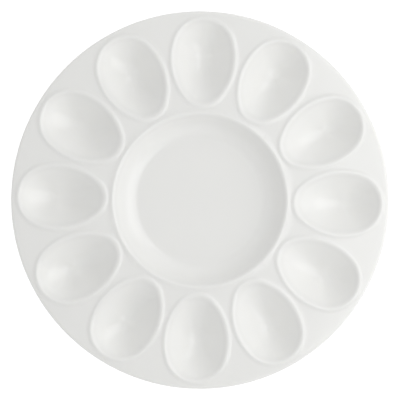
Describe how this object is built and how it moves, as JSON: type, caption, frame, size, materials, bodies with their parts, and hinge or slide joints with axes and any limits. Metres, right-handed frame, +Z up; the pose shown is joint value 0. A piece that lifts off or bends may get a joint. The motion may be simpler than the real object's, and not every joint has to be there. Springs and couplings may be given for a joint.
{
  "type": "deviled egg platter",
  "caption": "Round one-piece glazed porcelain platter with a ring of egg-shaped wells round a shallow centre dish, on a bare foot ring.",
  "frame": {"origin": "middle of the foot ring, on the surface that the platter stands on", "axes": "+Z up along the platter's axis; +X through the middle of one egg well"},
  "size_m": [0.286, 0.286, 0.028],
  "materials": {
    "porcelain_body": "white porcelain under a clear gloss glaze, on every side but the foot's face",
    "bare_foot": "unglazed fired porcelain, ground flat"
  },
  "bodies": {
    "root": {"porcelain_body": "porcelain_body", "foot_ring": "bare_foot"}
  },
  "joints": []
}
